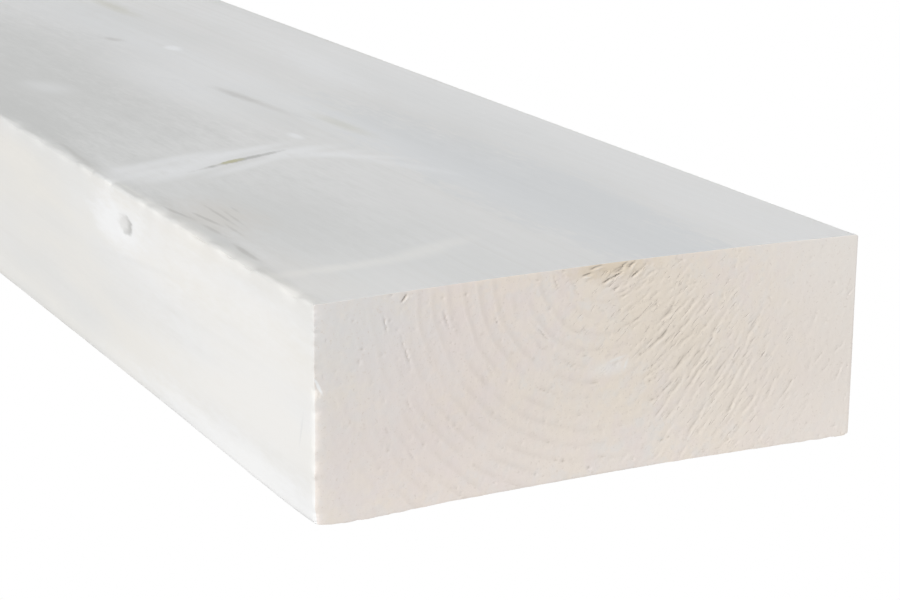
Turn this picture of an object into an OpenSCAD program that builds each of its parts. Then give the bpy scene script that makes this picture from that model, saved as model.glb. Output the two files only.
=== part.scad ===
// Sawn softwood plank: one piece of stock, slightly cupped, with eased arrises.
// The plank lies on its hollow face. X runs along the grain, Y across the width and Z up.
// The origin is at the middle of the footprint, on the level of the lowest arris.

/* [Plank] */
// Length, along the grain
plank_length = 1800; // [600:100:6000]
// Width, from edge to edge
plank_width = 125; // [75:5:250]
// Thickness, measured straight up anywhere across the width
plank_thickness = 44; // [22:1:75]

/* [Cupping] */
// Rise of the middle of each wide face above its edges, from drying
cup_rise = 0.8; // [0.2:0.1:3]

/* [Arrises] */
// Radius of the lower long arris on the -Y edge
lower_near_arris_radius = 1.5; // [0.5:0.1:8]
// Radius of the upper long arris on the -Y edge
upper_near_arris_radius = 1.4; // [0.5:0.1:8]
// Radius of the upper long arris on the +Y edge
upper_far_arris_radius = 0.8; // [0.5:0.1:8]
// Radius of the lower long arris on the +Y edge
lower_far_arris_radius = 1; // [0.5:0.1:8]

/* [Colour] */
// Colour of the sawn timber
timber_colour = [0.88, 0.86, 0.82];

/* [Hidden] */

// The two sides of the section and the levels of its two wide faces
near = -1;
far = 1;
lower = -1;
upper = 1;

// Segments in a full turn of the shallow face arcs and of the small arris arcs
face_fn = 720;
arris_fn = 96;
// How far an arris arc would stand proud of its wide face, so that the two cross cleanly
arc_crossing = 0.001;

half_width = plank_width / 2;
// Both wide faces are arcs of this one radius, so the thickness is even all the way across
face_radius = half_width * half_width / (2 * cup_rise) + cup_rise / 2;

// Height of a wide face at the middle of the width, where it is highest
function face_crest(level) = (level == upper ? plank_thickness : 0) + cup_rise;

// Centre of a wide face's arc, in the section's plane: across, then up
function face_centre(level) = [0, face_crest(level) - face_radius];

// Distance between the centres of a wide face's arc and of an arris arc of radius r on it
function arc_spacing(level, r) = face_radius - level * (r - arc_crossing);

// Centre of an arris arc of radius r, which runs smoothly from the edge into the wide face
function arris_centre(side, level, r) =
    face_centre(level)
    + [side * (half_width - r), sqrt(pow(arc_spacing(level, r), 2) - pow(half_width - r, 2))];

// Lowest point of a lower arris; the plank rests on the lower of the two
function foot(r) = arris_centre(far, lower, r)[1] - r;
rest_level = min(foot(lower_near_arris_radius), foot(lower_far_arris_radius));

// What easing one long arris takes away: the corner that lies outside its arc,
// between the radius that points at the edge and the one that points at the wide face
module arris_waste(side, level, r) {
    centre = arris_centre(side, level, r);
    from_face_centre = centre - face_centre(level);
    to_wide_face = level * from_face_centre / norm(from_face_centre);
    reach = 2 * r;
    translate(centre)
        difference() {
            polygon([[0, 0], [side * reach, 0], [side * reach, level * reach], reach * to_wide_face]);
            circle(r = r, $fn = arris_fn);
        }
}

// Disc whose rim is the arc of a wide face, placed by the highest point of its rim
module face_disc(level) {
    translate([0, face_crest(level)])
        translate([0, -face_radius])
            circle(r = face_radius, $fn = face_fn);
}

// The section as sawn and dried, with sharp corners: crowned above and hollow below
module sharp_section() {
    difference() {
        intersection() {
            translate([-half_width, 0]) square([plank_width, plank_thickness + 2 * cup_rise]);
            face_disc(upper);
        }
        face_disc(lower);
    }
}

// The section with its four long arrises eased
module section() {
    difference() {
        sharp_section();
        arris_waste(near, lower, lower_near_arris_radius);
        arris_waste(near, upper, upper_near_arris_radius);
        arris_waste(far, upper, upper_far_arris_radius);
        arris_waste(far, lower, lower_far_arris_radius);
    }
}

// The whole plank, sawn square at both ends
module plank() {
    color(timber_colour)
        translate([-plank_length / 2, 0, -rest_level])
            rotate([90, 0, 90])
                linear_extrude(height = plank_length) section();
}

plank();
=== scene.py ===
import math

import bpy
import numpy as np
from mathutils import Matrix, Vector, noise


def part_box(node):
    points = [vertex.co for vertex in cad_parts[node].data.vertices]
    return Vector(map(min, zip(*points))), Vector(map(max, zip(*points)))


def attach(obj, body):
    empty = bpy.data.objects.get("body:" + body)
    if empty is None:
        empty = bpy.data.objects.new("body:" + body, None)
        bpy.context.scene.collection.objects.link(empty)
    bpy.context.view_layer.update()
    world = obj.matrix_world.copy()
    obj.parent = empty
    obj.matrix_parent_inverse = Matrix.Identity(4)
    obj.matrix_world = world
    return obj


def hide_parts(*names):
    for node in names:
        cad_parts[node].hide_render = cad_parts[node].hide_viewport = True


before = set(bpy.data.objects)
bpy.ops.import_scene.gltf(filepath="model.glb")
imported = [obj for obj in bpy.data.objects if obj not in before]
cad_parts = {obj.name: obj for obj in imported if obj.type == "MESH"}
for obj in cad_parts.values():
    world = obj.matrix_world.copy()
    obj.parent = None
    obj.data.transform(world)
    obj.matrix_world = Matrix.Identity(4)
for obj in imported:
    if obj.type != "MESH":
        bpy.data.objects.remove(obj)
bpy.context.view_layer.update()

# ---------------------------------------------------------------------------------------------
# The plank's size, in millimetres, in the frame's axes: X along the grain, Y across and Z up.
# The end at +X is called the near end, and the edge at -Y the near edge.
# ---------------------------------------------------------------------------------------------
MM = 0.001
plank_low, plank_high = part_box("plank")
END = plank_high.x / MM
EDGE = plank_high.y / MM
CUP_RISE = 0.8
THICKNESS = (plank_high.z - plank_low.z) / MM - CUP_RISE
TOP = THICKNESS + CUP_RISE

NEAR, FAR = -1, 1
LOWER, UPPER = -1, 1
ARRISES = (  # side, level and radius of each long arris
    (NEAR, LOWER, 0.5),
    (NEAR, UPPER, 0.4),
    (FAR, UPPER, 0.4),
    (FAR, LOWER, 0.5),
)
END_BEVEL = 0.12

# The growth rings: their centre line runs just above the top face
PITH_Y = 1.2
PITH_Z = TOP + 1.7
RING_SPACING = 3.3


# ---------------------------------------------------------------------------------------------
# The grid that the mesh is made on
# ---------------------------------------------------------------------------------------------
FINE_PARTS = 5  # how many fine gaps there are to a coarse one


def spread(spans):
    """Positions along an axis: each span is its start, its stop and how many equal gaps it has."""
    lines = [np.linspace(start, stop, gaps, endpoint=False) for start, stop, gaps in spans]
    return np.append(np.concatenate(lines), spans[-1][1])


def subdivide(lines, parts):
    """The same grid lines with each gap cut into equal parts."""
    gaps = len(lines) - 1
    return np.interp(np.arange(gaps * parts + 1) / parts, np.arange(gaps + 1), lines)


def border(columns, rows):
    """Column and row of each border point of a grid, counter-clockwise as seen from +X."""
    below = [(i, 0) for i in range(columns)]
    beside = [(columns, j) for j in range(rows)]
    above = [(columns - i, rows) for i in range(columns)]
    back = [(0, rows - j) for j in range(rows)]
    return np.array(below + beside + above + back)


def section_points(y, z):
    """Moves points of a flat rectangle into the plank's section: arrises eased, then cupped."""
    for side, level, radius in ARRISES:
        across = side * y - (EDGE - radius)
        up = level * (z - THICKNESS / 2) - (THICKNESS / 2 - radius)
        inside = (across > 0) & (up > 0)
        reach = np.where(inside, np.hypot(across, up), 1)
        pull = np.where(inside, np.maximum(across, up) / reach, 1) - 1
        y = y + side * across * pull
        z = z + level * up * pull
    return y, z + CUP_RISE * (1 - (y / EDGE) ** 2)


def end_grid(lines_y, lines_z, x):
    """Points of an end face, drawn in by the small bevel round it."""
    y, z = section_points(*np.meshgrid(lines_y, lines_z, indexing="ij"))
    y = y * (1 - END_BEVEL / EDGE)
    middle = THICKNESS / 2
    z = middle + (z - middle) * (1 - END_BEVEL / middle)
    return np.column_stack([np.full(y.size, x), y.ravel(), z.ravel()])


def outline(lines_y, lines_z):
    """The section's outline as a loop of (y, z) points, and its outward directions."""
    loop = border(len(lines_y) - 1, len(lines_z) - 1)
    y, z = section_points(lines_y[loop[:, 0]], lines_z[loop[:, 1]])
    points = np.column_stack([y, z])
    along = np.roll(points, -1, axis=0) - np.roll(points, 1, axis=0)
    outward = np.column_stack([along[:, 1], -along[:, 0]])
    return points, outward / np.linalg.norm(outward, axis=1)[:, None]


def strip(first, second):
    """Quads between two loops of point numbers, the first loop nearer +X."""
    return np.stack([first, second, np.roll(second, -1), np.roll(first, -1)], axis=1).tolist()


def fan_strip(fine_loop, coarse_loop):
    """Triangles from a fine loop of point numbers to a coarse one, the fine one nearer +X."""
    triangles = []
    half = (FINE_PARTS + 1) // 2
    for k, here in enumerate(coarse_loop.tolist()):
        after = int(coarse_loop[(k + 1) % len(coarse_loop)])
        numbers = FINE_PARTS * k + np.arange(FINE_PARTS + 1)
        fine = fine_loop[numbers % len(fine_loop)].tolist()
        triangles += [[fine[i], here, fine[i + 1]] for i in range(half)]
        triangles.append([fine[half], here, after])
        triangles += [[fine[i], after, fine[i + 1]] for i in range(half, FINE_PARTS)]
    return triangles


# ---------------------------------------------------------------------------------------------
# Relief, in millimetres
# ---------------------------------------------------------------------------------------------
RIPPLE_SEED_STEP = 31.7  # how far apart the noises of two seeds are taken


def ripple(points, size, seed, octaves=2):
    """Smooth noise round zero at each point; size is how long its features are along each axis."""
    scaled = points / np.array(size) + RIPPLE_SEED_STEP * seed
    return np.array([noise.fractal(place, 1.0, 2.0, octaves) for place in scaled.tolist()])


def smooth(low, high, value):
    """0 where value is at low or short of it, 1 at high or beyond it, and smooth in between."""
    part = np.clip((value - low) / (high - low), 0, 1)
    return part * part * (3 - 2 * part)


def bump_at(value, centre, half):
    """A smooth bump of height 1 at centre that reaches half to each side."""
    return 1 - smooth(0, half, np.abs(value - centre))


def groove(along, across, length, width, depth):
    """A torn groove: a steep wall towards the pith, a gentle slope away from it, then a burr."""
    taper = np.clip(1 - (2 * along / length) ** 2, 0, 1) ** 0.7
    wall = smooth(-0.25 * width, 0.05 * width, across)
    slope = 1 - smooth(0.05 * width, width, across)
    burr = bump_at(across, 1.25 * width, 0.6 * width)
    return depth * taper * (0.3 * burr - wall * slope)


BAND_ANGLE = math.radians(-49)  # the way from the pith along the middle of the torn band
BAND_TEARS = 300
SCATTERED_TEARS = 70
SCATTERED_SLOPE = math.radians(42)
RING_TEARS = 160
PITS = 240
PITH_TEARS = (  # across from the pith, below the top face, slope in degrees, length
    (-2.4, 0.6, 12, 3.0),
    (3.2, 1.1, 38, 4.2),
    (5.6, 0.8, 40, 3.0),
    (2.2, 2.6, 35, 3.4),
    (6.2, 3.0, 42, 2.6),
    (0.0, 3.6, 20, 2.4),
    (-4.5, 1.8, 8, 2.2),
    (-45.0, 1.8, 48, 2.2),
)
DEEPEST_TEAR = -0.28
HIGHEST_BURR = 0.1
RING_RIDGE = 0.06  # how far the latewood stands out


def stroke(y, z, centre, slope, length, width, depth):
    """One straight groove, torn along the saw's way across the end."""
    offset_y = y - centre[0]
    offset_z = z - centre[1]
    along = math.cos(slope) * offset_y + math.sin(slope) * offset_z
    across = math.sin(slope) * offset_y - math.cos(slope) * offset_z
    return groove(along, across, length, width, depth)


def torn_band(y, z, dice):
    """The torn grain in a band that runs down and away from the pith, steeper further out."""
    tear = np.zeros(len(y))
    for number in range(BAND_TEARS):
        at_radius = 3 + 52 * (number + dice.uniform(0, 1)) / BAND_TEARS
        aside = dice.normal(0, 1)
        turn = aside * (3 + 0.2 * at_radius) / at_radius
        centre_y = PITH_Y + at_radius * math.cos(BAND_ANGLE + turn)
        centre_z = PITH_Z + at_radius * math.sin(BAND_ANGLE + turn)
        full = math.exp(-0.5 * aside * aside) * (1 - 0.5 * smooth(40, 54, at_radius))
        size = dice.uniform(0.35, 1) * (0.45 + 0.55 * full)
        slope = math.radians(34 + 18 * smooth(12, 42, at_radius) + dice.normal(0, 4)) + 0.3 * turn
        length = (3 + 7 * smooth(8, 32, at_radius)) * size
        width = 0.3 + (0.3 + 0.3 * smooth(16, 36, at_radius)) * size
        tear += stroke(y, z, (centre_y, centre_z), slope, length, width, 0.155 * size)
    return tear


def scattered_tears(y, z, dice):
    """Single torn places between the band and the far edge."""
    tear = np.zeros(len(y))
    for _ in range(SCATTERED_TEARS):
        centre = dice.uniform(22, EDGE), dice.uniform(2, 40)
        size = dice.uniform(0.3, 0.9) * (0.6 + 0.4 * bump_at(centre[0] - centre[1], 40, 16))
        slope = SCATTERED_SLOPE + dice.normal(0, math.radians(6))
        tear += stroke(y, z, centre, slope, 4.5 * size, 0.3 + 0.3 * size, 0.16 * size)
    return tear


def ring_tears(radius, angle, waver, dice):
    """Short shallow grooves along the growth rings."""
    tear = np.zeros(len(radius))
    for _ in range(RING_TEARS):
        at_radius = RING_SPACING * (dice.integers(3, 22) + dice.uniform(-0.2, 0.2))
        at_angle = dice.uniform(-math.pi, 0)
        size = dice.uniform(0.3, 1)
        along = at_radius * (angle - at_angle) + waver
        tear += groove(along, radius - at_radius, 4 * size, 0.5 * size, 0.2 * size)
    return tear


def pits(y, z, dice):
    """Small round pits all over the end."""
    tear = np.zeros(len(y))
    for _ in range(PITS):
        centre_y = dice.uniform(-EDGE, EDGE)
        centre_z = dice.uniform(0, THICKNESS)
        size = dice.uniform(0.25, 0.55)
        pit = 1 - smooth(0.2, 1, np.hypot(y - centre_y, z - centre_z) / size)
        tear -= 0.24 * size * pit
    return tear


def pith_tears(y, z):
    """The deepest torn places, close to the pith, and one nick far to the near side of it."""
    tear = np.zeros(len(y))
    for at_y, below, turn, length in PITH_TEARS:
        centre = PITH_Y + at_y, TOP - below
        tear += stroke(y, z, centre, math.radians(turn), length, 0.55, 0.32)
    return tear


def end_relief(points):
    """How far the near end stands out from its plane, how torn it is and its latewood."""
    y, z = points[:, 1], points[:, 2]
    bent_y = y + 0.16 * ripple(points, (1, 1.2, 1.2), 1) + 0.5 * ripple(points, (1, 6, 6), 14)
    bent_z = z + 0.16 * ripple(points, (1, 1.2, 1.2), 2) + 0.5 * ripple(points, (1, 6, 6), 15)
    radius = np.hypot(y - PITH_Y, z - PITH_Z) + 0.5 * ripple(points, (1, 9, 9), 3)
    angle = np.arctan2(z - PITH_Z, y - PITH_Y)
    dice = np.random.default_rng(11)
    tear = torn_band(bent_y, bent_z, dice)
    tear += scattered_tears(bent_y, bent_z, dice)
    tear += ring_tears(radius, angle, 2 * (bent_y - y), dice)
    tear += pits(bent_y, bent_z, dice)
    tear += pith_tears(bent_y, bent_z)
    tear = np.clip(tear, DEEPEST_TEAR, HIGHEST_BURR)
    phase = radius / RING_SPACING % 1
    late = smooth(0.45, 0.88, phase) * (1 - smooth(0.9, 1, phase))
    late *= smooth(-0.7, 0.2, ripple(points, (1, 7, 7), 16, 3)) * bump_at(y, -22, 48)
    rough = 0.009 * ripple(points, (1, 1.6, 1.6), 4, 3) + 0.05 * ripple(points, (1, 14, 14), 5)
    height = RING_RIDGE * late + rough + tear
    inward = np.minimum(EDGE - np.abs(y), np.minimum(z, TOP - z))
    return height * smooth(0.1, 0.8, inward) - 0.05, tear, late


# The branch whose knot shows on the near edge: where it leaves that edge, and where it runs to
KNOT = Vector((END - 100.5, -EDGE, 36.0))
BRANCH = Vector((-0.49, 1.0, 0.28)).normalized()
KNOTS = (  # place and half sizes of each knot that a branch leaves on a long face
    ((KNOT.x, KNOT.y, KNOT.z), (3.7, 3, 2.1)),
    ((END - 112, 21, 0), (5.5, 4.2, 3)),
    ((END - 588, -24, 0), (6.5, 5, 3)),
    ((END - 592, EDGE, 24), (5, 3, 3.6)),
    ((END - 1128, 15, 0), (5, 4, 3)),
    ((END - 1133, -EDGE, 20), (5.5, 3, 4)),
    ((END - 1618, -9, 0), (6, 5, 3)),
    ((END - 1622, EDGE, 30), (4, 3, 3)),
)
HIDDEN_KNOTS = KNOTS[1:]  # all but the one that shows on the near edge


def long_relief(points, outward):
    """How far the long faces stand out from the CAD section."""
    x, y, z = points.T
    depth = END - x
    on_arris = 1 - smooth(0.75, 0.98, np.abs(outward).max(axis=1))
    height = 0.07 * ripple(points, (170, 35, 35), 6)
    wander = 0.10 * ripple(points, (70, 90, 90), 8) + 0.16 * ripple(points, (9, 90, 90), 9, 3)
    height -= on_arris * (0.08 + np.abs(wander))
    swelling = np.exp(-depth / 90)
    height += 0.2 * swelling * smooth(0.5, 1, -outward[:, 1])
    height += 0.5 * swelling * smooth(0.5, 1, outward[:, 0]) * smooth(TOP, 0, z)
    lifted = smooth(20, 90, depth) * smooth(2 * END, 2 * END - 40, depth)
    height -= 0.5 * lifted * bump_at(np.hypot(y + EDGE, z), 0, 3)
    for place, half_sizes in KNOTS:
        knot = np.linalg.norm((points - place) / half_sizes, axis=1)
        height += 0.08 * bump_at(knot, 1.7, 0.8) - 0.3 * (1 - smooth(0.55, 1.15, knot))
    across_branch = (x - KNOT.x - BRANCH.x / BRANCH.y * (y + EDGE)) * BRANCH.y
    spike = bump_at(y, -31, 17) * smooth(TOP - 3, TOP - 1, z)
    height += spike * (0.2 * bump_at(across_branch, 0, 2.4) - 0.1 * bump_at(across_branch, 4.5, 3))
    return height


def wear(points):
    """Chips, rounding and saw burr at the near end and along the near upper arris, as moves."""
    x, y, z = points.T
    depth = END - x
    loss = 0.02 + 0.6 * ripple(points, (9, 9, 2.6), 10, 3) + 0.65 * smooth(29, 26.5, z)
    loss += 0.3 * bump_at(z, 27.3, 1.4) - 0.5 * bump_at(z, 10.5, 1.8) + 0.2 * bump_at(z, 42, 2.5)
    chip = np.clip(loss, -0.25, 1.05) * np.exp(-np.hypot(depth, y + EDGE) / 0.8)
    rounding = np.exp(-np.maximum(y + EDGE, 0) / 2.4 - depth / 5) * (1 - smooth(0, 4, z))
    ragged = 0.25 + 0.22 * ripple(points, (9, 2.6, 9), 13, 3) + 0.3 * bump_at(y, -47, 14)
    burr = ragged * np.exp(-depth / 1.2) * smooth(1.2, 0, z)
    arris = 0.3 + 3.2 * ripple(points, (9, 90, 90), 17, 4) + 1.0 * np.exp(-depth / 4)
    arris = np.clip(arris, -0.1, 1.3) * np.exp(-np.hypot(y + EDGE, z - THICKNESS) / 1.3)
    move = np.zeros_like(points)
    move[:, 0] = -0.7 * chip
    move[:, 1] = 0.7 * chip + 0.25 * rounding + 0.6 * arris
    move[:, 2] = 0.45 * rounding - 0.8 * arris - burr * smooth(-EDGE, -EDGE + 5, y)
    return move


# ---------------------------------------------------------------------------------------------
# The mesh: one closed surface, finest on the near end
# ---------------------------------------------------------------------------------------------
FINE_DEPTHS = (END_BEVEL, 0.6, 1.1)  # how far from the near end the finely divided loops are
ARRIS_ZONE = 2.4  # how wide the finer gaps along each long arris are together
SHARP_ANGLE = 42  # degrees between two faces, from which the edge between them is sharp
SPANS_Y = (  # finer over the knot at the near side
    (-EDGE, -EDGE + ARRIS_ZONE, 4),
    (-EDGE + ARRIS_ZONE, -10, 31),
    (-10, EDGE - ARRIS_ZONE, 33),
    (EDGE - ARRIS_ZONE, EDGE, 4),
)
SPANS_Z = (  # finer at the height of the knot
    (0, ARRIS_ZONE, 4),
    (ARRIS_ZONE, 30, 12),
    (30, THICKNESS - ARRIS_ZONE, 9),
    (THICKNESS - ARRIS_ZONE, THICKNESS, 4),
)
SPANS_DEPTH = (  # finest at the near end and at the knot
    (1.8, 10, 6),
    (10, 90, 40),
    (90, 136, 30),
    (136, 340, 56),
    (340, 580, 6),
    (580, 600, 7),
    (600, 1121, 9),
    (1121, 1140, 7),
    (1140, 1610, 9),
    (1610, 1630, 7),
    (1630, 2 * END - 4, 3),
    (2 * END - 4, 2 * END - END_BEVEL, 2),
)


TOP_GRAIN, EDGE_GRAIN, END_GRAIN = range(3)  # the order of the plank's materials
BAKED_LONG = 0.82  # the part of the bake map's height that the long faces take


def add_bake_map(mesh, points, girths, faces, near_faces, far_faces):
    """The map that the materials are baked on: the long faces unrolled, and the ends above them."""
    corners = np.concatenate(faces)
    sizes = np.array([len(face) for face in faces])
    x, y, z = points[corners].T
    around = girths[corners]
    highest = np.repeat(np.maximum.reduceat(around, np.cumsum(sizes) - sizes), sizes)
    around = around + (highest - around > 0.5)
    u = 0.001 + 0.998 * np.clip((x / END + 1) / 2, 0, 1)
    v = BAKED_LONG * (0.002 + 0.996 * around)
    for part, start in ((slice(0, 4 * near_faces), 0.005), (slice(-4 * far_faces, None), 0.505)):
        u[part] = start + 0.49 * (y[part] / EDGE + 1) / 2
        v[part] = BAKED_LONG + 0.005 + (0.99 - BAKED_LONG) * z[part] / TOP
    layer = mesh.uv_layers.new(name="OFBake")
    layer.uv.foreach_set("vector", np.column_stack([u, v]).ravel())


def build_plank():
    """The plank's mesh object, with its relief, its torn places and its map for baking."""
    # The plain points: the near end, the loops along the plank, then the far end
    coarse_y = spread(SPANS_Y)
    coarse_z = spread(SPANS_Z)
    fine_y = subdivide(coarse_y, FINE_PARTS)
    fine_z = subdivide(coarse_z, FINE_PARTS)
    columns, rows = len(coarse_y) - 1, len(coarse_z) - 1
    fine_columns, fine_rows = columns * FINE_PARTS, rows * FINE_PARTS

    near_end = end_grid(fine_y, fine_z, END)
    far_end = end_grid(coarse_y, coarse_z, -END)
    fine_loop, fine_outward = outline(fine_y, fine_z)
    coarse_loop, coarse_outward = outline(coarse_y, coarse_z)
    # How far round the section each point of a loop lies, from 0 to 1
    steps = np.linalg.norm(np.roll(coarse_loop, -1, axis=0) - coarse_loop, axis=1)
    coarse_girth = (np.cumsum(steps) - steps) / steps.sum()
    fine_girth = subdivide(np.append(coarse_girth, 1), FINE_PARTS)[:-1]

    depths = spread(SPANS_DEPTH)
    sides = [np.column_stack([np.full(len(fine_loop), END - d), fine_loop]) for d in FINE_DEPTHS]
    sides += [np.column_stack([np.full(len(coarse_loop), END - d), coarse_loop]) for d in depths]
    outward = [fine_outward] * len(FINE_DEPTHS) + [coarse_outward] * len(depths)
    long_points = np.concatenate(sides)
    long_outward = np.concatenate(outward)

    # The same points, moved by relief and wear
    near_height, near_tear, near_late = end_relief(near_end)
    wear_near = wear(near_end)
    wear_long = wear(long_points)
    moved_near = near_end + wear_near
    moved_near[:, 0] += near_height
    moved_long = long_points + wear_long
    moved_long[:, 1:] += long_outward * long_relief(long_points, long_outward)[:, None]
    moved_far = far_end.copy()
    moved_far[:, 0] -= 0.03 * ripple(far_end, (1, 2, 2), 12) - 0.05
    points = np.concatenate([moved_near, moved_long, moved_far])
    elsewhere = np.zeros(len(long_points) + len(far_end))
    girths = np.zeros(len(points))
    girths[len(near_end):len(near_end) + len(long_points)] = np.concatenate(
        [fine_girth] * len(FINE_DEPTHS) + [coarse_girth] * len(depths))

    # The faces, from the near end to the far end
    faces = []
    number = np.arange(len(near_end)).reshape(fine_columns + 1, fine_rows + 1)
    cells = np.stack([number[:-1, :-1], number[1:, :-1], number[1:, 1:], number[:-1, 1:]], axis=-1)
    faces += cells.reshape(-1, 4).tolist()
    near_faces = len(faces)

    edge_of_end = border(fine_columns, fine_rows)
    loop = number[edge_of_end[:, 0], edge_of_end[:, 1]]
    girths[loop] = fine_girth
    first = len(near_end)
    for _ in FINE_DEPTHS:
        ring = np.arange(first, first + len(fine_loop))
        faces += strip(loop, ring)
        loop = ring
        first += len(fine_loop)
    bevel_faces = len(fine_loop)
    ring = np.arange(first, first + len(coarse_loop))
    faces += fan_strip(loop, ring)
    for _ in depths[1:]:
        first += len(coarse_loop)
        following = np.arange(first, first + len(coarse_loop))
        faces += strip(ring, following)
        ring = following
    far_start = len(faces)
    number = np.arange(len(far_end)).reshape(columns + 1, rows + 1) + len(near_end) + len(long_points)
    edge_of_end = border(columns, rows)
    loop = number[edge_of_end[:, 0], edge_of_end[:, 1]]
    girths[loop] = coarse_girth
    faces += strip(ring, loop)
    cells = np.stack([number[:-1, :-1], number[:-1, 1:], number[1:, 1:], number[1:, :-1]], axis=-1)
    faces += cells.reshape(-1, 4).tolist()

    # The mesh, with its attributes, its materials' places and its map
    mesh = bpy.data.meshes.new("sawn_plank")
    mesh.from_pydata((points * MM).tolist(), [], faces)
    for name, near_values in (("tear", near_tear), ("late", near_late)):
        layer = mesh.attributes.new(name, "FLOAT", "POINT")
        layer.data.foreach_set("value", np.concatenate([near_values, elsewhere]))
    around = np.arange(len(coarse_loop))
    on_top_face = (around >= columns + rows) & (around < 2 * columns + rows)
    coarse_material = np.where(on_top_face, TOP_GRAIN, EDGE_GRAIN)
    material = np.concatenate([
        np.full(near_faces + bevel_faces, END_GRAIN),
        np.tile(np.repeat(coarse_material, FINE_PARTS), len(FINE_DEPTHS) - 1),
        np.repeat(coarse_material, FINE_PARTS + 1),
        np.tile(coarse_material, len(depths) - 1),
        np.full(len(faces) - far_start, END_GRAIN),
    ]).astype(np.int32)
    mesh.polygons.foreach_set("material_index", material)
    mesh.polygons.foreach_set("use_smooth", np.ones(len(faces), bool))
    add_bake_map(mesh, points, girths, faces, near_faces, columns * rows)
    mesh.set_sharp_from_angle(angle=math.radians(SHARP_ANGLE))
    mesh.validate()
    plank = bpy.data.objects.new("sawn_plank", mesh)
    bpy.context.scene.collection.objects.link(plank)
    return plank


# ---------------------------------------------------------------------------------------------
# Materials
# ---------------------------------------------------------------------------------------------
NOISE_SEED_STEP = 17.3  # how far apart the noises of two seeds are taken
SPECULAR = 0.3
BUMP_STRENGTH = 0.5


class Shader:
    """The nodes of one material. Each method adds a node or a few and returns the main output.

    point is the place in millimetres, x, y and z are its parts, and ragged frays the blobs' rims.
    """

    def __init__(self, name):
        self.material = bpy.data.materials.new(name)
        self.material.use_nodes = True
        self.tree = self.material.node_tree
        self.tree.nodes.clear()
        coordinates = self.add("ShaderNodeTexCoord").outputs["Object"]
        self.point = self.vector("MULTIPLY", coordinates, (1 / MM,) * 3)
        split = self.add("ShaderNodeSeparateXYZ", self.point)
        self.x, self.y, self.z = split.outputs
        rough = self.math("MULTIPLY_ADD", self.noise((14, 4, 4), 3.0, 0.6), 1.3, -0.65)
        fine = self.math("MULTIPLY_ADD", self.noise((4.5, 1.1, 1.1), 3.0, 0.6, seed=12), 1.0, -0.5)
        self.ragged = self.math("ADD", rough, fine)

    def add(self, kind, *values, **settings):
        node = self.tree.nodes.new(kind)
        for name, value in settings.items():
            setattr(node, name, value)
        for socket, value in zip(node.inputs, values):
            self.feed(socket, value)
        return node

    def feed(self, socket, value):
        if isinstance(value, bpy.types.NodeSocket):
            self.tree.links.new(value, socket)
        else:
            socket.default_value = value

    def math(self, operation, *values):
        return self.add("ShaderNodeMath", *values, operation=operation).outputs[0]

    def vector(self, operation, *values):
        node = self.add("ShaderNodeVectorMath", operation=operation)
        sockets = [node.inputs[0], node.inputs["Scale" if operation == "SCALE" else 1]]
        for socket, value in zip(sockets, values):
            self.feed(socket, value)
        return node.outputs["Value" if operation == "LENGTH" else "Vector"]

    def ramp(self, value, low, high, start=0.0, end=1.0):
        """start where value is at low, end where it is at high, and smooth in between."""
        node = self.add("ShaderNodeMapRange", value, low, high, start, end)
        node.interpolation_type = "SMOOTHSTEP"
        return node.outputs[0]

    def noise(self, size, detail=2.0, roughness=0.5, seed=0.0, turn=(0, 0, 0)):
        """Noise from 0 to 1 with features of that size along X, Y and Z, turned as a blob is."""
        angles = [math.radians(a) for a in turn]
        scaled = self.add("ShaderNodeMapping", self.point, (0, 0, 0), angles, size)
        scaled.vector_type = "TEXTURE"
        shifted = self.vector("ADD", scaled.outputs[0], (NOISE_SEED_STEP * seed,) * 3)
        node = self.add("ShaderNodeTexNoise")
        self.feed(node.inputs["Vector"], shifted)
        self.feed(node.inputs["Scale"], 1.0)
        self.feed(node.inputs["Detail"], detail)
        self.feed(node.inputs["Roughness"], roughness)
        return node.outputs[0]

    def mix(self, factor, first, second):
        """The colour first, turned into second where the factor is 1."""
        node = self.add("ShaderNodeMix", data_type="RGBA")
        self.feed(node.inputs[0], factor)
        for socket, colour in ((node.inputs[6], first), (node.inputs[7], second)):
            self.feed(socket, colour if isinstance(colour, bpy.types.NodeSocket) else (*colour, 1.0))
        return node.outputs[2]

    def blob(self, centre, half_sizes, turn=(0, 0, 0), strength=1.0, soft=0.4):
        """strength inside a ragged ellipsoid, turned by three angles in degrees, and 0 outside it."""
        angles = [math.radians(a) for a in turn]
        node = self.add("ShaderNodeMapping", self.point, centre, angles, half_sizes)
        node.vector_type = "TEXTURE"
        distance = self.math("ADD", self.vector("LENGTH", node.outputs[0]), self.ragged)
        return self.ramp(distance, 1 + soft, 1 - soft, 0.0, strength)

    def marks(self, colour, tint, blobs):
        """The colour with the tint over it inside each of the blobs."""
        for blob in blobs:
            colour = self.mix(self.blob(*blob), colour, tint)
        return colour

    def finish(self, colour, roughness, height):
        """Ends the material with its shader; height is in millimetres."""
        bump = self.add("ShaderNodeBump")
        self.feed(bump.inputs["Height"], height)
        self.feed(bump.inputs["Distance"], MM)
        self.feed(bump.inputs["Strength"], BUMP_STRENGTH)
        shader = self.add("ShaderNodeBsdfPrincipled")
        self.feed(shader.inputs["Base Color"], colour)
        self.feed(shader.inputs["Roughness"], roughness)
        self.feed(shader.inputs["Specular IOR Level"], SPECULAR)
        self.feed(shader.inputs["Normal"], bump.outputs[0])
        self.add("ShaderNodeOutputMaterial", shader.outputs[0])
        return self.material


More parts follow.
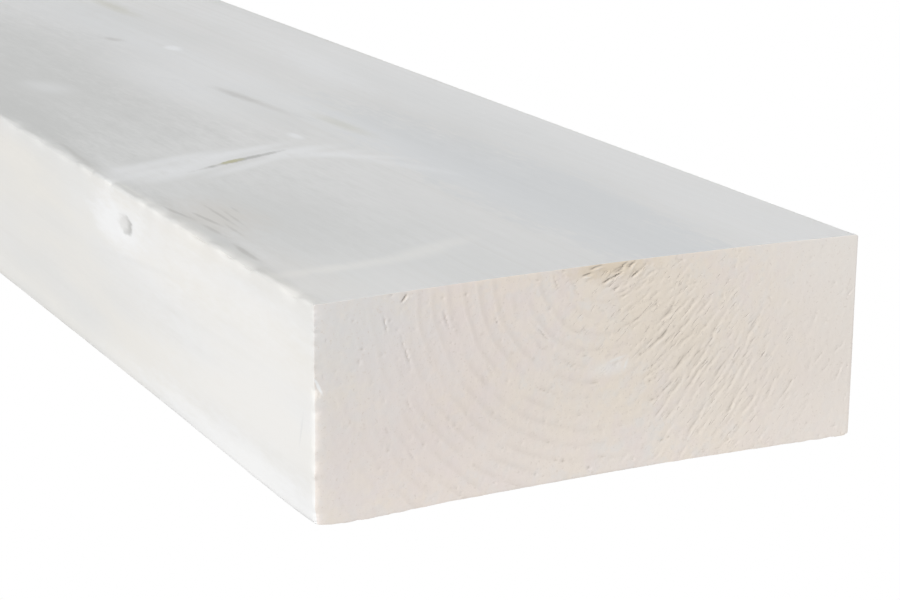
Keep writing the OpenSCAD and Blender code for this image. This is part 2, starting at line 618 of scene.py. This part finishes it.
def ring_lines(wood):
    """Growth rings round the wandering pith: 1 on the dark latewood, 0 on the pale earlywood."""
    drift = wood.noise((240, 1e6, 1e6), 1.0, seed=1)
    pith_y = wood.math("MULTIPLY_ADD", drift, 12.0, PITH_Y - 6.0)
    across = wood.math("SUBTRACT", wood.y, pith_y)
    up = wood.math("SUBTRACT", wood.z, PITH_Z)
    radius = wood.math("SQRT", wood.math("ADD", wood.math("MULTIPLY", across, across),
                                         wood.math("MULTIPLY", up, up)))
    warp = wood.noise((140, 14, 14), 2.0, seed=2)
    phase = wood.math("DIVIDE", wood.math("MULTIPLY_ADD", warp, 2.4, radius), RING_SPACING)
    part = wood.math("FRACT", phase)
    rise = wood.ramp(part, 0.35, 0.9)
    fall = wood.ramp(part, 0.99, 0.92)
    return wood.math("MULTIPLY", rise, fall)


def on_top(depth, y, half_along, half_across, heading=0, strength=1.0, soft=0.5):
    """A blob on the top face: heading turns its longer way from +X towards +Y."""
    half_sizes = (half_along, half_across, 5)
    return (END - depth, y, TOP), half_sizes, (0, 0, heading), strength, soft


def on_edge(depth, z, half_along, half_up, tilt=0, strength=1.0, soft=0.5):
    """A blob on the near edge: tilt raises its +X side."""
    half_sizes = (half_along, 5, half_up)
    return (END - depth, -EDGE, z), half_sizes, (0, -tilt, 0), strength, soft


def on_end(y, z, half_across, half_up, turn=0, strength=1.0, soft=0.5):
    """A blob on the near end: turn raises its +Y side."""
    half_sizes = (4, half_across, half_up)
    return (END, y, z), half_sizes, (turn, 0, 0), strength, soft


PALE_WOOD = (0.765, 0.765, 0.76)
GREY_WOOD = (0.725, 0.73, 0.725)
LATE_WOOD = (0.66, 0.65, 0.625)
CREAM_WOOD = (0.80, 0.78, 0.735)
WHITE_WOOD = (0.87, 0.88, 0.895)
CHALK_WOOD = (0.87, 0.86, 0.83)
# Bluish grey: painted cool shade in the top's marks near the near end, and a random cool tone in the
# patches further along
COOL_TONE_AND_PAINTED_SHADE_WOOD = (0.665, 0.69, 0.715)
# Darker grey: painted shade in most of the marks and along the near upper arris, and a random darker
# tone in the patches further along
DARK_TONE_AND_PAINTED_SHADE_WOOD = (0.60, 0.605, 0.595)
OLIVE_WOOD = (0.57, 0.56, 0.47)
STREAK_WOOD = (0.46, 0.45, 0.43)
BROWN_WOOD = (0.68, 0.64, 0.59)
KNOT_GREY = (0.50, 0.50, 0.49)
KNOT_HEART = (0.74, 0.74, 0.735)
KNOT_OCHRE = (0.52, 0.50, 0.33)


def knot_marks(knots, scale, strength, soft):
    """A blob at each of the knots, scale times the knot's size."""
    return [(place, [scale * half for half in half_sizes], (0, 0, 0), strength, soft)
            for place, half_sizes in knots]


TOP_MARKS = [  # each a tint and the places that have it
    # Painted cool shade over the top near the near end
    (COOL_TONE_AND_PAINTED_SHADE_WOOD, [
        on_top(62, 19, 98, 16, -1, 0.4, 0.3),
        on_top(55, 17, 60, 10, 0, 0.4, 0.8),
        on_top(50, 30, 40, 4, -2, 0.3, 0.7),
        on_top(320, 4, 110, 16, 0, 0.2, 0.9),
    ]),
    # Painted shade: patches of the top darker where less light falls, a band just inside the near
    # arris, and the shadow beside a small knot
    (DARK_TONE_AND_PAINTED_SHADE_WOOD, [
        on_top(66, -45, 34, 18, 0, 0.4, 0.9),
        on_top(275, -44, 110, 27, 8, 0.6, 0.9),
        on_top(220, -52, 75, 19, 4, 0.45, 0.9),
        on_top(290, -18, 70, 14, 2, 0.3, 0.9),
        on_top(40, 26, 75, 46, 0, 0.22, 0.9),
        on_top(155, 36, 55, 12, 0, 0.25, 0.9),
        on_top(195, -57, 44, 7, 3, 0.8, 0.9),
        on_top(145, -59.5, 40, 2.4, -2, 0.7, 0.7),
        on_top(50, -60, 50, 2.2, -2, 0.6, 0.7),
        on_top(126, -49, 5, 5, 60, 0.35, 0.8),
        on_top(180, -28, 40, 9, 0, 0.2, 0.9),
    ]),
    (WHITE_WOOD, [
        on_top(116, -56, 9, 7, 100, 0.35, 0.8),
        on_top(124, -42, 13, 2.8, 104, 0.45, 0.8),
        on_top(118, -42, 13, 2.4, 110, 0.35, 0.8),
        on_top(111, -44, 10, 3.5, 112, 0.45, 0.8),
        on_top(125, -25, 12, 2.0, 106, 0.45, 0.8),
        on_top(119, -32, 12, 2.6, 112, 0.35, 0.8),
        on_top(111, -28, 13, 2.0, 117, 0.4, 0.8),
        on_top(120, -13, 9, 3.2, 97, 0.5, 0.8),
        on_top(114, -9, 9, 2.8, 84, 0.4, 0.8),
        on_top(108, -1, 9, 2.0, 55, 0.35, 0.8),
        on_top(97, 3, 14, 2.0, 29, 0.25, 0.9),
        on_top(135.5, -5.6, 3.5, 1.3, 0, 0.6, 0.7),
        on_top(264, 12, 3.5, 2.0, 0, 0.7, 0.7),
        on_top(222, -40, 9, 4, 10, 0.3, 0.9),
        on_top(215, 38, 30, 6, -8, 0.3, 0.9),
        on_top(210, -7, 38, 9, 0, 0.35, 0.9),
        on_top(210, 10, 120, 6, 0, 0.25, 0.9),
        on_top(150, 49, 220, 13, 0, 0.2, 0.5),
    ]),
    (CHALK_WOOD, [
        on_top(21.3, -54, 12, 2.2, 90, 0.35, 0.8),
        on_top(21, -38, 12, 2.4, 93, 0.2, 0.9),
        on_top(25.5, -25, 10, 2.6, 110, 0.35, 0.9),
        on_top(9, -54, 16, 14, 0, 0.2, 0.9),
        on_top(597, -14, 34, 7, 97, 0.6, 0.8),
        on_top(1140, 18, 30, 8, 82, 0.6, 0.8),
        on_top(1628, -4, 38, 6, 94, 0.6, 0.8),
    ]),
    (BROWN_WOOD, [
        on_top(70, -53, 14, 7, 0, 0.4, 0.9),
        on_top(20, -57, 22, 6, 0, 0.15, 0.9),
    ]),
    (OLIVE_WOOD, [
        on_top(143, 10.5, 13, 1.9, 3, 0.35, 0.9),
        on_top(344, 23, 16, 2.6, 0, 0.4, 0.9),
    ]),
    (STREAK_WOOD, [
        on_top(172, 3.0, 13, 1.3, 6, 0.22, 0.9),
        on_top(190, 1.4, 11, 1.5, 6, 0.4, 0.9),
        on_top(285, 1.5, 3.5, 1.6, 14, 0.4, 0.9),
        # Painted shade: thin dark lines of fine grooves near the near arris
        on_top(76.8, -59.2, 6, 0.45, 6, 0.5, 0.6),
        on_top(69.2, -55.9, 6.5, 0.45, 5, 0.5, 0.6),
        on_top(69.4, -52.2, 8, 0.4, -2, 0.45, 0.6),
        on_top(60, -58.1, 4.5, 0.45, 2, 0.4, 0.6),
        on_top(66, -50.6, 6, 0.35, -4, 0.35, 0.6),
        on_top(58, -54.3, 4, 0.4, -2, 0.35, 0.6),
        on_top(40, -59.0, 6.5, 0.5, -2, 0.5, 0.6),
        on_top(74, -47.5, 3, 0.35, -3, 0.3, 0.7),
        on_top(140, -60, 15, 0.6, -3, 0.35, 0.8),
    ]),
    (KNOT_GREY, [
        on_top(116.5, -28, 11.5, 1.0, 112, 0.95, 0.6),
        on_top(597, -22, 9, 0.9, 99, 0.8, 0.6),
        on_top(1140, 21, 8, 1.2, 80, 0.8, 0.6),
    ]),
    (KNOT_OCHRE, [on_top(115.5, -31, 4.0, 0.9, 112, 0.9, 0.6)]),
]
EDGE_MARKS = [
    (DARK_TONE_AND_PAINTED_SHADE_WOOD, [
        on_edge(90, 29.5, 22, 0.7, 6, 0.16, 0.8),
        on_edge(60, 24, 30, 0.8, 2, 0.12, 0.8),
        on_edge(6, 17.5, 3, 0.3, 75, 0.4, 0.8),
        # Painted shade: the near edge darker away from the near end
        on_edge(190, 20, 70, 30, 0, 0.2, 0.9),
    ]),
    (WHITE_WOOD, [
        on_edge(106, 35.5, 13, 5.5, 0, 0.7, 0.7),
        on_edge(98, 33, 34, 9, 0, 0.3, 0.9),
        # Painted light: the near edge lighter along its foot and towards the near end
        on_edge(30, 1, 60, 5, 0, 0.5, 0.9),
        on_edge(24, 18, 50, 16, 0, 0.35, 0.9),
        on_edge(45, 36, 40, 4, 0, 0.25, 0.9),
        *knot_marks(HIDDEN_KNOTS, 2.6, 0.5, 0.7),
    ]),
    (KNOT_GREY, knot_marks(KNOTS, 0.95, 0.9, 0.3)),
    (KNOT_HEART, [
        *knot_marks(HIDDEN_KNOTS, 0.7, 0.8, 0.4),
        on_edge(102.4, 36.3, 2.9, 1.9, 0, 0.9, 0.6),
    ]),
]


SHOWN_LENGTH = 370  # the camera sees no more of the plank than this


def build_long_grain(name, marks, variety):
    """A sawn face or edge along the grain, with its own marks of tone, painted shade and painted light
    near the near end.

    variety is how strongly the shade and streaks vary over the rest of the length.
    """
    wood = Shader(name)
    fibre = wood.noise((45, 0.5, 0.5), 3.0, 0.6, seed=3)
    streak = wood.noise((180, 3.2, 3.2), 2.0, 0.5, seed=4)
    patch = wood.noise((110, 24, 24), 2.0, 0.5, seed=5)
    late = ring_lines(wood)
    colour = wood.mix(wood.ramp(patch, 0.35, 0.7), PALE_WOOD, GREY_WOOD)
    colour = wood.mix(wood.math("MULTIPLY", late, 0.08), colour, LATE_WOOD)
    colour = wood.mix(wood.ramp(streak, 0.5, 0.8, 0.0, 0.2), colour, LATE_WOOD)
    colour = wood.mix(wood.ramp(fibre, 0.5, 0.8, 0.0, 0.05), colour, LATE_WOOD)
    beyond = wood.ramp(wood.x, END - SHOWN_LENGTH, END - SHOWN_LENGTH - 100, 0.0, variety)
    shade = wood.ramp(wood.noise((170, 16, 16), 3.0, 0.6, seed=14), 0.48, 0.62, 0.0, 0.6)
    colour = wood.mix(wood.math("MULTIPLY", shade, beyond), colour, DARK_TONE_AND_PAINTED_SHADE_WOOD)
    cool = wood.ramp(wood.noise((210, 14, 14), 3.0, 0.6, seed=15), 0.48, 0.62, 0.0, 0.5)
    colour = wood.mix(wood.math("MULTIPLY", cool, beyond), colour, COOL_TONE_AND_PAINTED_SHADE_WOOD)
    dash = wood.ramp(wood.noise((24, 0.8, 0.8), 1.0, 0.5, seed=16), 0.68, 0.76, 0.0, 0.6)
    colour = wood.mix(wood.math("MULTIPLY", dash, beyond), colour, STREAK_WOOD)
    warm = wood.noise((70, 13, 13), 2.0, 0.5, seed=8)
    warm = wood.math("MULTIPLY", wood.ramp(warm, 0.35, 0.7, 0.2, 0.8),
                     wood.ramp(wood.y, 3 - EDGE, 1 - EDGE))
    colour = wood.mix(warm, colour, CREAM_WOOD)
    # Painted shade: a ragged dark band along the near upper arris, fading out close to the near end
    height = wood.math("MULTIPLY_ADD", wood.ragged, 0.9, wood.z)
    arris = wood.math("MULTIPLY", wood.ramp(height, THICKNESS - 1, THICKNESS - 0.3),
                      wood.ramp(wood.y, 1.8 - EDGE, 0.8 - EDGE))
    arris = wood.math("MULTIPLY", arris, wood.ramp(wood.x, END - 8, END - 25))
    colour = wood.mix(wood.math("MULTIPLY", arris, 0.5), colour, DARK_TONE_AND_PAINTED_SHADE_WOOD)
    for tint, places in marks:
        colour = wood.marks(colour, tint, places)
    # Painted light from below: the long faces up to 4.5% lighter towards the bottom
    light = wood.ramp(wood.z, 9, 1, 1.0, 1.045)
    colour = wood.vector("SCALE", colour, light)
    relief = wood.math("MULTIPLY_ADD", fibre, 0.025, wood.math("MULTIPLY", streak, 0.1))
    roughness = wood.ramp(fibre, 0.3, 0.7, 0.6, 0.75)
    return wood.finish(colour, roughness, relief)


PALE_END = (0.765, 0.71, 0.66)
WARM_END = (0.78, 0.71, 0.625)
COOL_END = (0.71, 0.70, 0.69)
BLUE_END = (0.68, 0.69, 0.70)
PINK_END = (0.75, 0.68, 0.655)
LATE_END = (0.64, 0.58, 0.53)
PITH_END = (0.66, 0.56, 0.42)
# Painted shade for the torn grooves and pits on the near end
PAINTED_GROOVE_SHADE_END = (0.46, 0.415, 0.36)
FAR_SIDE_END = (0.79, 0.755, 0.715)
WHITE_END = (0.82, 0.83, 0.83)
END_ROUGHNESS = 0.75


def build_end_grain():
    """The sawn ends: faint rings, pores and torn fibres, with painted shade in the torn grooves,
    painted highlights on their burrs and painted light towards the foot.
    """
    wood = Shader("end_grain")
    pores = wood.noise((0.6, 0.6, 0.6), 3.0, 0.6, seed=6)
    cloud = wood.noise((20, 20, 20), 2.0, 0.5, seed=7)
    mottle = wood.noise((3, 3, 3), 3.0, 0.6, seed=9)
    blush = wood.noise((6, 6, 6), 3.0, 0.6, seed=10)
    speck = wood.noise((1.5, 1.5, 1.5), 2.0, 0.5, seed=11)
    fibre = wood.noise((6, 3.4, 0.5), 2.0, 0.6, seed=13, turn=(42, 0, 0))
    colour = wood.mix(wood.ramp(cloud, 0.35, 0.65), PALE_END, WARM_END)
    colour = wood.mix(wood.ramp(mottle, 0.45, 0.65, 0.0, 0.5), colour, COOL_END)
    colour = wood.mix(wood.ramp(blush, 0.45, 0.65, 0.0, 0.6), colour, PINK_END)
    colour = wood.marks(colour, COOL_END, [
        on_end(-EDGE, TOP - 16, 16, 30, 0, 0.5, 0.9),
    ])
    colour = wood.marks(colour, FAR_SIDE_END, [on_end(EDGE, TOP - 8, 22, 34, 0, 0.9, 0.9)])
    colour = wood.marks(colour, BLUE_END, [on_end(-50, TOP - 6, 12, 9, -20, 0.6, 0.9)])
    colour = wood.marks(colour, PINK_END, [
        on_end(-34, 30, 18, 14, 30, 0.5, 0.9),
        on_end(-38, 9, 28, 10, 0, 0.5, 0.9),
        on_end(46, 16, 18, 18, 0, 0.35, 0.9),
    ])
    colour = wood.marks(colour, WARM_END, [
        on_end(16, 31, 16, 12, -40, 0.8, 0.9),
        on_end(-8, 14, 16, 9, 10, 0.4, 0.9),
        on_end(46, 16, 18, 18, 0, 0.35, 0.9),
        on_end(29, 12, 10, 8, 0, 0.5, 0.9),
    ])
    far_late = wood.math("MULTIPLY", ring_lines(wood), wood.ramp(wood.x, 1 - END, -END, 0.0, 0.15))
    near_late = wood.add("ShaderNodeAttribute", attribute_name="late").outputs["Fac"]
    late = wood.math("MULTIPLY_ADD", near_late, 0.33, far_late)
    colour = wood.mix(late, colour, LATE_END)
    colour = wood.mix(wood.ramp(pores, 0.6, 0.72, 0.0, 0.6), colour, LATE_END)
    colour = wood.mix(wood.ramp(speck, 0.64, 0.8, 0.0, 0.5), colour, LATE_END)
    torn = wood.add("ShaderNodeRGBToBW", wood.marks((0.0,) * 3, (1.0,) * 3, [
        on_end(21, 26, 13, 30, 45, 1.0, 0.8),
        ((-END, -15, 22), (4, 25, 12), (30, 0, 0), 0.8, 0.9),
    ])).outputs[0]
    # The torn fibre lines darkened: partly the fibres' own colour, partly painted shade in their
    # grooves
    torn = wood.math("MULTIPLY", wood.ramp(fibre, 0.6, 0.72), torn)
    colour = wood.mix(wood.math("MULTIPLY", torn, 0.5), colour, LATE_END)
    colour = wood.marks(colour, PITH_END, [
        on_end(1.5, TOP - 0.5, 8.5, 2.4, 0, 0.6, 0.7),
        on_end(14, 33, 13, 9, -40, 0.12, 0.9),
    ])
    colour = wood.marks(colour, WHITE_END, [
        on_end(2, 23, 4.0, 1.3, 0, 0.4, 0.9),
        on_end(6.2, 23.2, 1.3, 0.35, 70, 0.5, 0.6),
        on_end(4.2, 24.6, 2.0, 0.3, 12, 0.4, 0.6),
        on_end(-61.5, 27.8, 1.8, 0.28, -63, 1.0, 0.5),
    ])
    tear = wood.add("ShaderNodeAttribute", attribute_name="tear").outputs["Fac"]
    # Painted highlight on the raised burrs beside the torn grooves
    colour = wood.mix(wood.ramp(tear, 0.02, 0.09, 0.0, 0.25), colour, WHITE_END)
    # Painted shade in the torn grooves and pits
    colour = wood.mix(wood.ramp(tear, -0.03, -0.25, 0.0, 0.7), colour, PAINTED_GROOVE_SHADE_END)
    # Painted light from below: the end up to 5% lighter towards its foot
    colour = wood.vector("SCALE", colour, wood.ramp(wood.z, 20, 0, 1.0, 1.05))
    relief = wood.math("MULTIPLY_ADD", speck, 0.15, wood.math("MULTIPLY", torn, -0.3))
    return wood.finish(colour, END_ROUGHNESS, relief)


# ---------------------------------------------------------------------------------------------
# Studio: a shadowless white floor, soft daylight from all round, a wide soft key and a fill
# ---------------------------------------------------------------------------------------------
FLOOR_SIZE = 80.0
FLOOR_GAP = 0.001


def build_floor():
    """A large floor that shines plain white and casts nothing on the plank."""
    half = FLOOR_SIZE / 2
    level = plank_low.z - FLOOR_GAP
    mesh = bpy.data.meshes.new("floor")
    corners = [(-half, -half, level), (half, -half, level), (half, half, level), (-half, half, level)]
    mesh.from_pydata(corners, [], [(0, 1, 2, 3)])
    material = bpy.data.materials.new("white_floor")
    material.use_nodes = True
    nodes = material.node_tree.nodes
    nodes.clear()
    glow = nodes.new("ShaderNodeEmission")
    output = nodes.new("ShaderNodeOutputMaterial")
    material.node_tree.links.new(glow.outputs[0], output.inputs[0])
    mesh.materials.append(material)
    floor = bpy.data.objects.new("floor", mesh)
    floor.visible_diffuse = False
    floor.visible_glossy = False
    bpy.context.scene.collection.objects.link(floor)


AMBIENT_ABOVE = (0.325, 0.335, 0.345)
AMBIENT_BELOW = (0.855, 0.845, 0.835)


def build_world():
    """White where the camera sees it; soft ambient light, cooler from above, on the plank."""
    world = bpy.data.worlds.new("studio")
    world.use_nodes = True
    tree = world.node_tree
    tree.nodes.clear()
    coordinates = tree.nodes.new("ShaderNodeTexCoord")
    split = tree.nodes.new("ShaderNodeSeparateXYZ")
    tree.links.new(coordinates.outputs["Generated"], split.inputs[0])
    height = tree.nodes.new("ShaderNodeMapRange")
    tree.links.new(split.outputs["Z"], height.inputs[0])
    height.inputs["From Min"].default_value = -1
    ambient_colour = tree.nodes.new("ShaderNodeMix")
    ambient_colour.data_type = "RGBA"
    tree.links.new(height.outputs[0], ambient_colour.inputs[0])
    ambient_colour.inputs[6].default_value = (*AMBIENT_BELOW, 1)
    ambient_colour.inputs[7].default_value = (*AMBIENT_ABOVE, 1)
    ambient = tree.nodes.new("ShaderNodeBackground")
    tree.links.new(ambient_colour.outputs[2], ambient.inputs[0])
    white = tree.nodes.new("ShaderNodeBackground")
    white.inputs[0].default_value = (1, 1, 1, 1)
    path = tree.nodes.new("ShaderNodeLightPath")
    choice = tree.nodes.new("ShaderNodeMixShader")
    tree.links.new(path.outputs["Is Camera Ray"], choice.inputs[0])
    tree.links.new(ambient.outputs[0], choice.inputs[1])
    tree.links.new(white.outputs[0], choice.inputs[2])
    output = tree.nodes.new("ShaderNodeOutputWorld")
    tree.links.new(choice.outputs[0], output.inputs[0])
    bpy.context.scene.world = world
    bpy.context.scene.view_settings.view_transform = "Standard"


def build_sun(name, towards, brightness, colour, angle):
    """A soft sun. towards points at it, and brightness is what it adds to a white face turned to it."""
    light = bpy.data.lights.new(name, "SUN")
    light.energy = brightness * math.pi
    light.color = colour
    light.angle = math.radians(angle)
    sun = bpy.data.objects.new(name, light)
    sun.rotation_euler = Vector(towards).to_track_quat("Z", "Y").to_euler()
    bpy.context.scene.collection.objects.link(sun)


# ---------------------------------------------------------------------------------------------
# Camera: close to the near end, looking back along the plank from its near side
# ---------------------------------------------------------------------------------------------
CAMERA_FROM_END = Vector((0.3807, -0.2357, 0.1424))  # from the middle of the near end, in metres
CAMERA_HEADING = 152.08  # degrees from +X towards +Y
CAMERA_PITCH = -15.97
CAMERA_ROLL = 0.77
LENS = 93.92  # this and the sensor's width are in millimetres
SENSOR_WIDTH = 36.0


def build_camera():
    """The camera, and the middle of the near end as its starting point."""
    camera = bpy.data.objects.new("camera", bpy.data.cameras.new("camera"))
    camera.data.lens = LENS
    camera.data.sensor_width = SENSOR_WIDTH
    heading, pitch, roll = (math.radians(a) for a in (CAMERA_HEADING, CAMERA_PITCH, CAMERA_ROLL))
    forward = Vector((
        math.cos(heading) * math.cos(pitch),
        math.sin(heading) * math.cos(pitch),
        math.sin(pitch),
    ))
    turn = forward.to_track_quat("-Z", "Y").to_matrix().to_4x4() @ Matrix.Rotation(roll, 4, "Z")
    end_middle = Vector((plank_high.x, 0, (plank_low.z + plank_high.z) / 2))
    camera.matrix_world = Matrix.Translation(end_middle + CAMERA_FROM_END) @ turn
    bpy.context.scene.collection.objects.link(camera)
    bpy.context.scene.camera = camera


build_camera()
build_floor()
build_world()
build_sun("key", (0.365, -0.484, 0.437), 0.745, (1.0, 0.99, 0.98), 22)
build_sun("fill", (-0.55, 0.75, 0.12), 0.25, (1.0, 1.0, 1.0), 40)

plank = build_plank()
plank.data.materials.append(build_long_grain("top_grain", TOP_MARKS, 1.0))
plank.data.materials.append(build_long_grain("edge_grain", EDGE_MARKS, 0.45))
plank.data.materials.append(build_end_grain())
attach(plank, "root")
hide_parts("plank")
